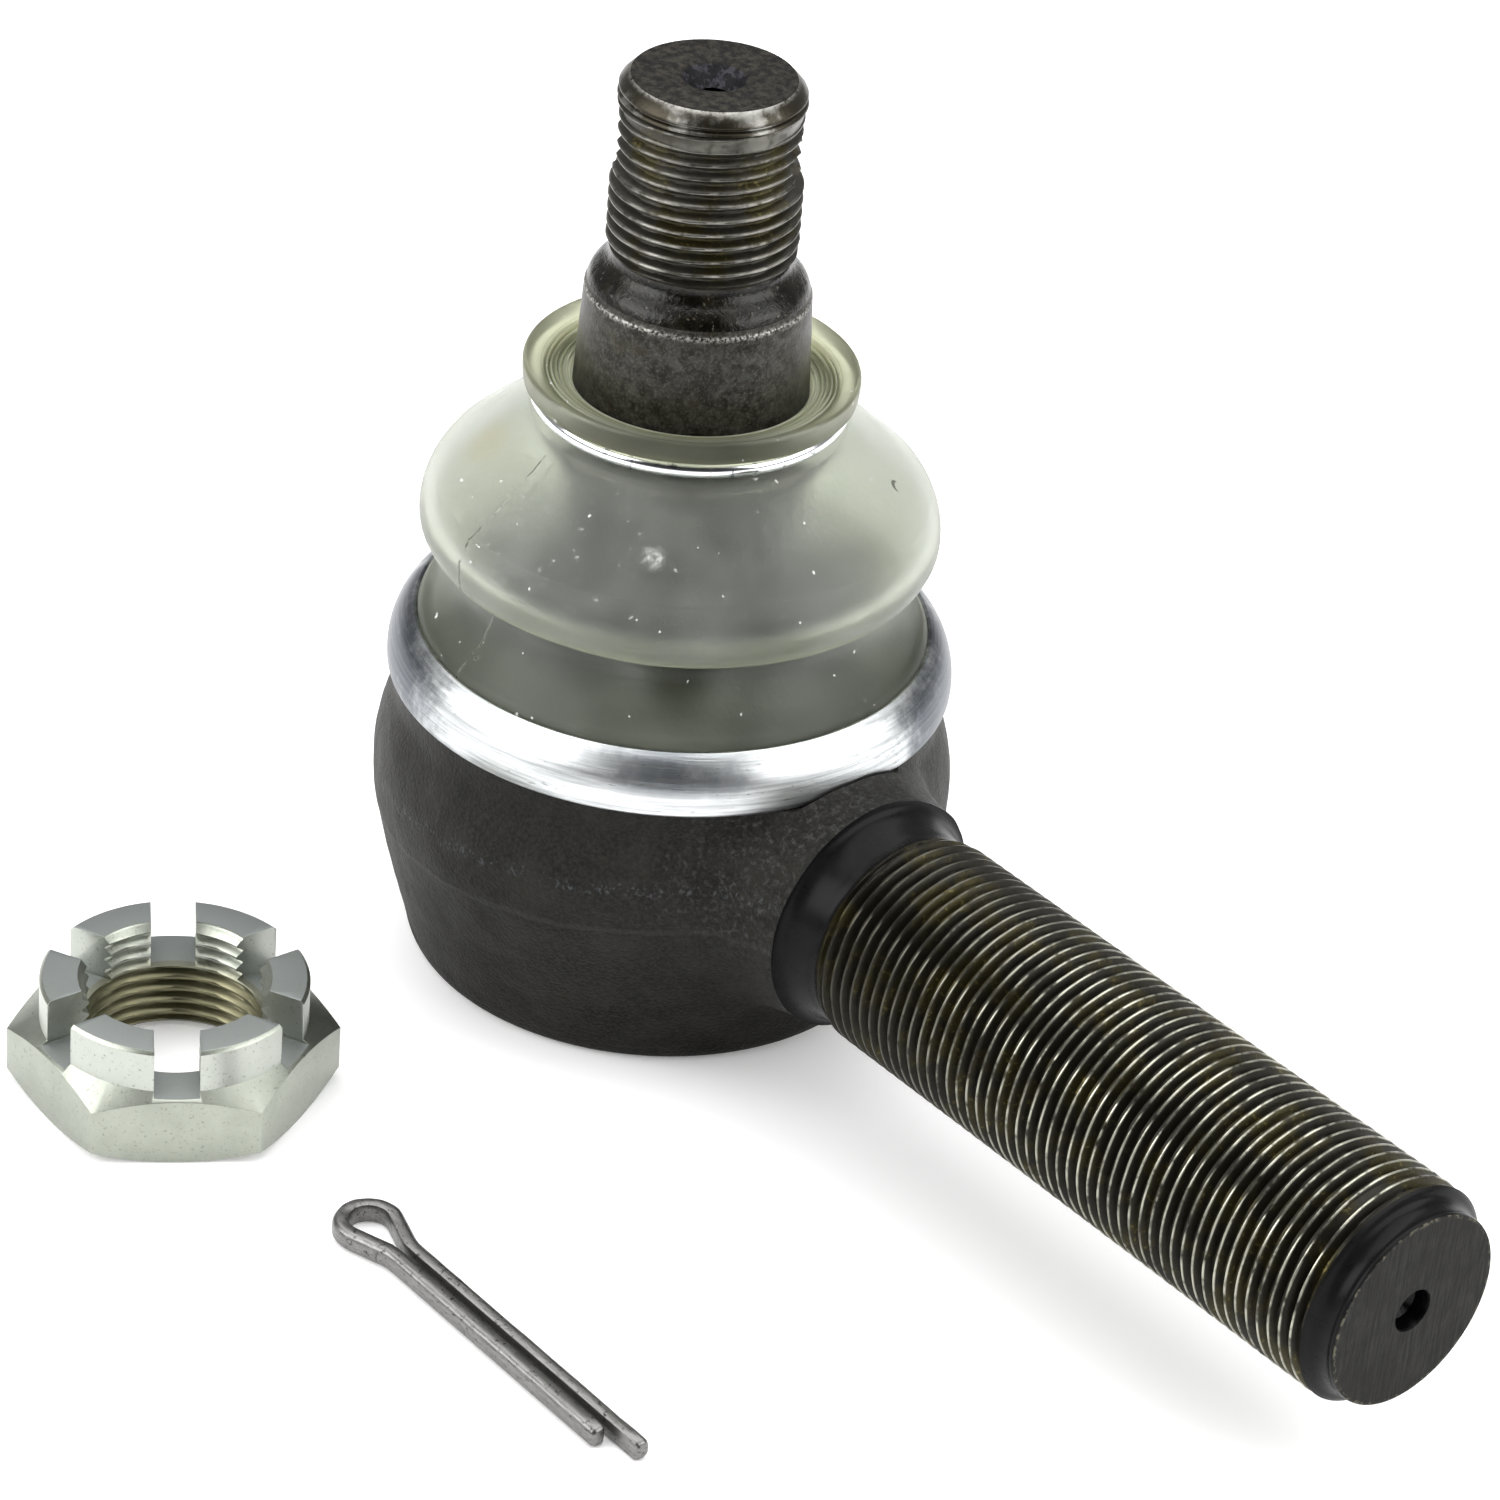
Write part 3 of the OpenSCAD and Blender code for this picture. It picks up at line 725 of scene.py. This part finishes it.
def stud_profile():
    """(radius, height) points from the flat below the ball to the centre drilling in the top."""
    top, flat = STUD_TOP, -12.5
    neck_start = math.sqrt(BALL_R**2 - NECK_R**2)
    ball_from, ball_to = (math.degrees(math.asin(z / BALL_R)) for z in (flat, neck_start))
    rows = [(0.02, flat), (11.3, flat)] + arc(0, 0, BALL_R, BALL_R, ball_from, ball_to, 26)
    low_r = TAPER_R + (TAPER_HIGH - TAPER_LOW) / 20
    rows += [(NECK_R, neck_start + 1), (NECK_R, 27.0)]
    rows += [(low_r - 1.2, 32.4), (low_r, 33.6), (low_r, TAPER_LOW)]
    rows += even([(low_r, TAPER_LOW), (TAPER_R + 0.04, TAPER_HIGH - 0.3)], 1.5)[1:]
    rows += [(TAPER_R - 0.02, TAPER_HIGH - 0.12), (TAPER_R - 0.16, TAPER_HIGH)]
    rows += rounded([(11.55, 58.95), (11.2, 59.75), (10.6, 60.45), (9.95, 61.05), (9.5, 61.7),
                     (9.35, 62.3)], 4)
    high = STUD_THREAD_HIGH
    rows += [(STUD_ROOT_R, z) for z in np.arange(STUD_THREAD_LOW, high, PITCH / 14)]
    rows += rounded([(9.72, high + 0.1), (9.6, high + 0.35), (9.25, high + 0.55), (9.3, high + 0.75),
                     (9.62, high + 0.95), (9.55, high + 1.2)], 3)
    rows += [(8.5, top - 0.08), (8.3, top)]
    rows += [(5.6, top - 0.05), (3.7, top - 0.1), (3.35, top - 0.3), (3.1, top - 0.6), (1.55, top - 2.2),
             (1.4, top - 2.6), (1.4, top - 4.2), (0.02, top - 5.0)]
    return rows


def stud_thread(r, z, angle):
    """The radius with the thread cut into it. Its crests step in above STUD_STEP_Z and partly out again
    above STUD_BAND_Z."""
    step = np.clip((z - STUD_STEP_Z) / 1.8, 0, 1)
    band = np.clip((z - STUD_BAND_Z) / 1.0, 0, 1)
    crest = STUD_R - 0.55 * step + 0.22 * band
    first = STUD_ROOT_R + 0.7 * np.clip((z - STUD_THREAD_LOW - 0.1) / 0.9, 0, 1)
    depth = 0.9 - 0.4 * (STUD_R - crest)
    cut = np.minimum(np.minimum(crest, first), crest - 0.03 - depth * groove(z, angle))
    return np.where((z >= STUD_THREAD_LOW) & (z < STUD_THREAD_HIGH), cut, r)


def stud_crests(s):
    """The crests' radius in stud_thread, as a shader value."""
    step = s.step(s.z, STUD_STEP_Z, STUD_STEP_Z + 1.8)
    band = s.step(s.z, STUD_BAND_Z, STUD_BAND_Z + 1)
    return s.minus(STUD_R, s.minus(s.times(step, 0.5), s.times(band, 0.17)))


def drill_stud(stud):
    """The cross hole for the split pin, and a chip broken out beside its mouth."""
    mouth = [(4.9, 12.5), (3.0, 9.7), (2.0, 8.4)]
    profile = [(r, -x) for r, x in mouth] + mouth[::-1]
    hole = revolve("pin_hole", profile, steps=48, closed=False)
    turn = Matrix.Rotation(math.radians(PIN_HOLE_TURN), 4, "Z") @ Matrix.Rotation(math.pi / 2, 4, "Y")
    hole.data.transform(Matrix.Translation((0, 0, PIN_HOLE_Z * MM)) @ turn)
    combine(stud, hole, "DIFFERENCE")
    profile = [(0.02, -3.1)] + arc(0, 0, 2.9, 3.1, -85, 85, 14) + [(0.02, 3.1)]
    chip = revolve("chip", profile, steps=40, closed=False)
    side = math.radians(CHIP_TURN)
    place(chip, (CHIP_R * math.cos(side), CHIP_R * math.sin(side), PIN_HOLE_Z), 0)
    combine(stud, chip, "DIFFERENCE")


def build_stud():
    stud = revolve("ball_stud_body", stud_profile(), steps=144, closed=False, radius=stud_thread,
                   smooth_angle=50)
    drill_stud(stud)
    shade(stud, 45)
    # 0.34 widens the pale crests down the flanks: painted highlight.
    thread = oily_thread("stud_thread_steel", stud_crests, "z", (100, 50), 0.34,
                         ((0.018, 0.016, 0.012), (0.058, 0.054, 0.044)), (0.30, 0.29, 0.265))
    stand_for(stud, "ball_stud", "stud", "stud_steel",
              stud_steel(), stud_top_steel(), bright_chamfer(), thread, stained_neck())
    paint_stud(stud)


def paint_stud(stud):
    top, chamfer, threaded, neck = 1, 2, 3, 4
    for face in stud.data.polygons:
        c = face.center / MM
        r = math.hypot(c.x, c.y)
        if c.z > STUD_TOP - 0.5 and r < 8.4 or c.z > STUD_TOP - 5.1 and r < 4:
            face.material_index = top
        elif c.z > STUD_THREAD_HIGH:
            face.material_index = chamfer
        elif c.z > STUD_THREAD_LOW - 0.1:
            face.material_index = threaded
        elif c.z > TAPER_HIGH + 0.3:
            face.material_index = neck


def boot_profile():
    """(radius, height) points up the outside, over the lip with its turned grooves, and down the inside."""
    outer = [(25.4, 14.25), (28.3, 14.25), (28.2, 15.3), (27.6, 16.4), (26.95, 17.4), (27.15, 18.3),
             (27.3, 18.8), (26.9, 19.5), (26.2, 20.1), (25.2, 21.1), (24.2, 22.4), (23.4, 23.9),
             (23.05, 25.3), (23.3, 26.4)]
    outer += arc(23.6, 31.2, 4.0, 4.0, -80, -8, 9) + arc(21.1, 31.2, 6.5, 6.5, 2, 44, 7)
    outer += [(23.2, 38.0), (20.9, 39.9), (18.6, 41.8), (17.3, 43.1), (16.7, 43.9)]
    neck = [(15.8, 44.25), (14.7, 44.55), (14.45, 45.4), (14.7, 46.35), (15.6, 46.75), (16.9, 46.8)]
    lip = [(17.45, 46.95), (17.6, 47.6), (17.65, 48.6), (17.6, 49.05), (17.35, 49.28), (17.0, 49.2),
           (16.3, 48.85), (15.7, 48.45)]
    grooves = []
    for k in range(5):
        r = 15.5 - 0.52 * k
        z = 48.35 - 0.14 * k
        grooves += [(r, z), (r - 0.13, z - 0.16), (r - 0.3, z - 0.17), (r - 0.4, z - 0.03)]
    bore = [(12.75, 47.55), (12.45, 47.2), (12.42, 46.6), (12.6, 44.5), (12.9, 42.6)]
    inner = [(14.2, 41.8), (15.6, 41.4), (17.0, 40.4), (19.6, 38.1), (22.2, 35.9), (24.0, 34.2),
             (25.1, 32.6), (25.4, 31.2), (24.9, 29.9), (23.5, 29.2), (21.9, 28.2), (20.9, 26.6),
             (20.8, 25.0), (21.4, 23.0), (22.6, 21.0), (24.2, 19.3), (25.35, 18.2)]
    return (rounded(outer, 4) + rounded(neck, 4) + rounded(lip, 4) + grooves + rounded(bore, 3)
            + rounded(inner, 4))


def build_boot():
    boot = revolve("dust_boot_skin", boot_profile(), steps=192, smooth_angle=70)
    wander(boot, 0.12, 14.0, 5.7, lambda p: 1.0 if 24 < p.z < 43 else 0.0)
    stand_for(boot, "dust_boot", None, "boot_rubber", boot_polyurethane())
    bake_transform(boot)


def build_wire_ring():
    ring = revolve("boot_wire_ring_bright", arc(WIRE_MID_R, WIRE_Z, WIRE_R, WIRE_R, 0, 345, 24), steps=192)
    stand_for(ring, "boot_wire_ring", "tilt", "bright_wire", bright_wire())


def build_clamp_ring():
    sheet = 1.5
    curl_x, curl_z = 5.0, 5.9
    mid_x, mid_z = RING_R - curl_x, SHOULDER_Z + 1.2
    profile = [(SPIGOT_R + 0.02, SHOULDER_Z)]
    profile += rounded([(RING_R - 0.7, SHOULDER_Z), (RING_R - 0.3, SHOULDER_Z + 0.1),
                        (RING_R - 0.06, SHOULDER_Z + 0.4), (RING_R, SHOULDER_Z + 0.9)], 3)
    profile += arc(mid_x, mid_z, curl_x, curl_z, 4, 58, 18)
    profile += [(mid_x + 2.35, mid_z + 5.2), (mid_x + 2.1, mid_z + 5.15), (mid_x + 1.85, mid_z + 4.9)]
    profile += arc(mid_x, mid_z, curl_x - sheet, curl_z - sheet, 58, 6, 12)
    profile += [(RING_R - sheet - 0.1, SHOULDER_Z + sheet), (SPIGOT_R + 0.02, SHOULDER_Z + sheet)]
    ring = revolve("boot_clamp_ring_bright", profile, steps=192)
    stand_for(ring, "boot_clamp_ring", "housing", "zinc_ring", zinc_ring())


def hex_points(corner_r, z):
    return [(corner_r * math.cos(math.radians(60 * k)), corner_r * math.sin(math.radians(60 * k)), z)
            for k in range(6)]


def build_nut():
    corner_r = NUT_FLATS / math.sqrt(3)
    sides = [(k, (k + 1) % 6, (k + 1) % 6 + 6, k + 6) for k in range(6)]
    nut = make_object("slotted_nut_body", hex_points(corner_r, 0.0) + hex_points(corner_r, NUT_H + 1),
                      [tuple(range(5, -1, -1)), tuple(range(6, 12))] + sides)
    wide, foot_r = corner_r + 0.4, NUT_FLATS / 2 - 0.2
    top_slope, foot_slope = 0.577, 0.49
    top_drop = (wide - CROWN_R) * top_slope
    foot = (wide - foot_r) * foot_slope
    shape = revolve("cone", [(foot_r, 0.0), (wide, foot), (wide, CHAMFER_TOP - top_drop),
                             (CROWN_R, CHAMFER_TOP), (CROWN_R, NUT_H - 0.35), (CROWN_R - 0.35, NUT_H)],
                    steps=144, closed=False)
    combine(nut, shape, "INTERSECT")
    for turn in (30, 90, 150):
        slot = box_cutter("slot", (-20, -SLOT_W / 2, SLOT_FLOOR), (20, SLOT_W / 2, NUT_H + 2), turn)
        combine(nut, slot, "DIFFERENCE")
    bore_r = STUD_R - THREAD_DEPTH + 0.12
    core = revolve("core", [(bore_r - 0.5, -1), (bore_r - 0.5, NUT_H + 1)], steps=96, closed=False)
    combine(nut, core, "DIFFERENCE")
    bevel = nut.modifiers.new("edges", "BEVEL")
    bevel.width, bevel.segments = 0.16 * MM, 2
    bevel.limit_method, bevel.angle_limit = "ANGLE", math.radians(28)
    finish_modifiers(nut)
    combine(nut, thread_cutter(bore_r), "DIFFERENCE")
    place(nut, (NUT_MID.x, NUT_MID.y, NUT_LOW.z), NUT_TURN)
    nut.name = nut.data.name = "slotted_nut_body"
    shade(nut, 30)
    stand_for(nut, "slotted_nut", "nut", "zinc_nut", zinc_nut())


def thread_cutter(bore_r):
    rows = [(bore_r + 0.9, -0.5)] + [(bore_r, z) for z in np.arange(-0.3, NUT_H + 0.6, PITCH / 12)]

    def threaded(r, z, angle):
        lead = np.maximum(bore_r + 0.95 - np.maximum(z, 0), bore_r + 0.9 - np.maximum(NUT_H - z, 0))
        turns = bore_r + 0.8 * (1 - groove(z, angle, 0.4))
        return np.maximum(turns, lead)

    return revolve("thread_cut", rows, steps=112, closed=False, radius=threaded)


def pin_path():
    """The wire's inner flat, from the tip of one leg round the eye to the tip of the other."""
    mid_y = PIN_LOW.y + EYE_IN_R + WIRE_W
    eye_x = PIN_LOW.x + EYE_IN_R + WIRE_W
    meet = math.hypot(EYE_REACH, LEG_GAP)
    turn = math.acos(EYE_IN_R / meet) + math.atan(LEG_GAP / EYE_REACH)
    neck = eye_x + EYE_REACH
    long_tip, short_tip = PIN_HIGH.x, PIN_HIGH.x - SHORT_BY
    path = [(x, mid_y - LEG_GAP) for x in np.linspace(short_tip, neck + 1.4, 16)]
    path += [(neck + 0.6, mid_y - LEG_GAP * 1.08), (neck - 0.4, mid_y - LEG_GAP * 1.5)]
    for a in np.linspace(-turn, turn - TAU, 34):
        path.append((eye_x + EYE_IN_R * math.cos(a), mid_y + EYE_IN_R * math.sin(a)))
    path += [(neck - 0.4, mid_y + LEG_GAP * 1.5), (neck + 0.6, mid_y + LEG_GAP * 1.08)]
    path += [(x, mid_y + LEG_GAP) for x in np.linspace(neck + 1.4, long_tip, 18)]
    return np.array(path)


def wire_section():
    """Points round the flattened wire as (out from the flat, up): its outer corners are rounder."""
    round_r, corner = 0.7, 0.3
    far, top = WIRE_W - round_r, WIRE_H / 2 - round_r
    low = WIRE_H / 2 - corner
    corners = [(far, top, round_r, 0, 6), (corner, low, corner, 90, 3), (corner, -low, corner, 180, 3),
               (far, -top, round_r, 270, 6)]
    section = []
    for x, z, r, start, count in corners:
        section += arc(x, z, r, r, start, start + 90, count)
    return section


def build_pin():
    path = pin_path()
    ahead = np.gradient(path, axis=0)
    ahead /= np.linalg.norm(ahead, axis=1)[:, None]
    out = np.stack([-ahead[:, 1], ahead[:, 0]], axis=1)
    middle, core = PIN_LOW.z + WIRE_H / 2, WIRE_W / 2
    last = len(path) - 1
    tip = [(0.0, 0.62), (0.12, 0.84), (0.4, 1.0)]
    steps = [(0, back, size) for back, size in tip] + [(i, 0.0, 1.0) for i in range(1, last)]
    steps += [(last, back, size) for back, size in reversed(tip)]
    section = wire_section()
    verts = []
    for i, back, size in steps:
        start = path[i] - np.array((back, 0.0))
        for across, up in section:
            x, y = start + out[i] * (core + (across - core) * size)
            verts.append((x, y, middle + up * size))
    count = len(section)
    faces = grid_faces(len(steps), count, False)
    faces += [tuple(range(count)), tuple(range(len(verts) - 1, len(verts) - 1 - count, -1))]
    pin = make_object("split_pin_wire", verts, faces, 40)
    turn_outward(pin)
    wander(pin, 0.06, 2.2, 9.1, lambda p: 1.0 if p.z > PIN_LOW.z + 0.4 else 0.0)
    shade(pin, 40)
    stand_for(pin, "split_pin", "pin", "dark_wire", drawn_wire())


def turn_outward(obj):
    """Makes every face look outward."""
    shape = bmesh.new()
    shape.from_mesh(obj.data)
    bmesh.ops.recalc_face_normals(shape, faces=shape.faces)
    shape.to_mesh(obj.data)
    shape.free()


def paint_inner_nodes():
    quiet = {
        "upper_ball_seat": ("seat_plastic_upper", (0.03, 0.03, 0.027), (0.06, 0.058, 0.052), 0, 0.4, 0.5),
        "lower_ball_seat": ("seat_plastic_lower", (0.03, 0.03, 0.027), (0.055, 0.053, 0.048), 0, 0.4, 0.5),
        "preload_disc_spring": ("spring_steel", (0.15, 0.15, 0.16), (0.28, 0.28, 0.3), 0.9, 0.3, 0.8),
        "end_cover": ("cover_steel", (0.12, 0.12, 0.125), (0.24, 0.24, 0.25), 0.85, 0.34, 0.6),
        "cover_seal": ("seal_rubber", (0.01, 0.01, 0.01), (0.025, 0.025, 0.025), 0, 0.55, 1.0),
    }
    for name, finish in quiet.items():
        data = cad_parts[name].data
        data.materials.clear()
        data.materials.append(plain_material(*finish))


# ---------------------------------------------------------------- floor, light and camera
def floor():
    s = Shader("floor_paper")
    paper = s.mix(s.noise(0.02, 2, 0.5), (0.93, 0.93, 0.93), (0.95, 0.95, 0.95))
    s.set(color=paper, rough=0.9, specular=0.1)
    s.bsdf.inputs["Emission Color"].default_value = (1, 1, 1, 1)
    s.bsdf.inputs["Emission Strength"].default_value = 0.22
    half, z = 2600, BASE_Z - 0.02
    corners = [(-half, -half, z), (half, -half, z), (half, half, z), (-half, half, z)]
    obj = make_object("floor", corners, [(0, 1, 2, 3)])
    obj.data.materials.append(s.material)


CAMERA_AT = Vector((370.09, -321.32, 312.36))
CAMERA_RIGHT = Vector((0.63277, 0.77080, 0.07391))
CAMERA_UP = Vector((-0.45385, 0.29185, 0.84193))
CAMERA_BACK = Vector((0.62739, -0.56629, 0.53450))
CAMERA_LENS = 128.3


def camera():
    data = bpy.data.cameras.new("camera")
    data.lens, data.sensor_width = CAMERA_LENS, 36.0
    data.clip_start, data.clip_end = 0.01, 20
    obj = bpy.data.objects.new("camera", data)
    bpy.context.scene.collection.objects.link(obj)
    turn = Matrix((CAMERA_RIGHT, CAMERA_UP, CAMERA_BACK)).transposed().to_4x4()
    obj.matrix_world = Matrix.Translation(CAMERA_AT * MM) @ turn
    bpy.context.scene.camera = obj


def soft_box(name, across, toward, above, size, power):
    """An area light placed by its distances from the target: to the camera's right, toward it and up."""
    target = Vector((15, 0, 15))
    flat = Vector((CAMERA_BACK.x, CAMERA_BACK.y, 0)).normalized()
    right = Vector((-flat.y, flat.x, 0))
    spot = target + right * across + flat * toward + Vector((0, 0, above))
    data = bpy.data.lights.new(name, "AREA")
    data.shape, data.size, data.size_y = "RECTANGLE", size[0] * MM, size[1] * MM
    data.energy = power
    obj = bpy.data.objects.new(name, data)
    bpy.context.scene.collection.objects.link(obj)
    obj.location = spot * MM
    obj.rotation_mode = "QUATERNION"
    obj.rotation_quaternion = (target - spot).to_track_quat("-Z", "Y")


def lights():
    world = bpy.data.worlds.new("studio")
    bpy.context.scene.world = world
    world.use_nodes = True
    nodes, links = world.node_tree.nodes, world.node_tree.links
    background = nodes["Background"]
    background.inputs["Color"].default_value = (1, 1, 1, 1)
    direction = nodes.new("ShaderNodeTexCoord")
    toward = nodes.new("ShaderNodeVectorMath")
    toward.operation = "DOT_PRODUCT"
    toward.inputs[1].default_value = CAMERA_BACK
    fade = nodes.new("ShaderNodeMapRange")
    for name, value in (("From Min", -0.3), ("From Max", 0.7), ("To Min", 0.34), ("To Max", 0.04)):
        fade.inputs[name].default_value = value
    links.new(direction.outputs["Generated"], toward.inputs[0])
    links.new(toward.outputs["Value"], fade.inputs["Value"])
    links.new(fade.outputs["Result"], background.inputs["Strength"])
    soft_box("left_box", -620, 260, 420, (700, 500), 5.5)
    soft_box("right_box", 640, 200, 380, (700, 500), 4.5)
    soft_box("top_box", 0, -200, 850, (1300, 1000), 12)


def look():
    scene = bpy.context.scene
    scene.view_settings.view_transform = "Standard"
    scene.view_settings.look = "None"


# ---------------------------------------------------------------- scene
look()
camera()
lights()
floor()
build_housing()
build_stud()
build_boot()
build_wire_ring()
build_clamp_ring()
build_nut()
build_pin()
paint_inner_nodes()
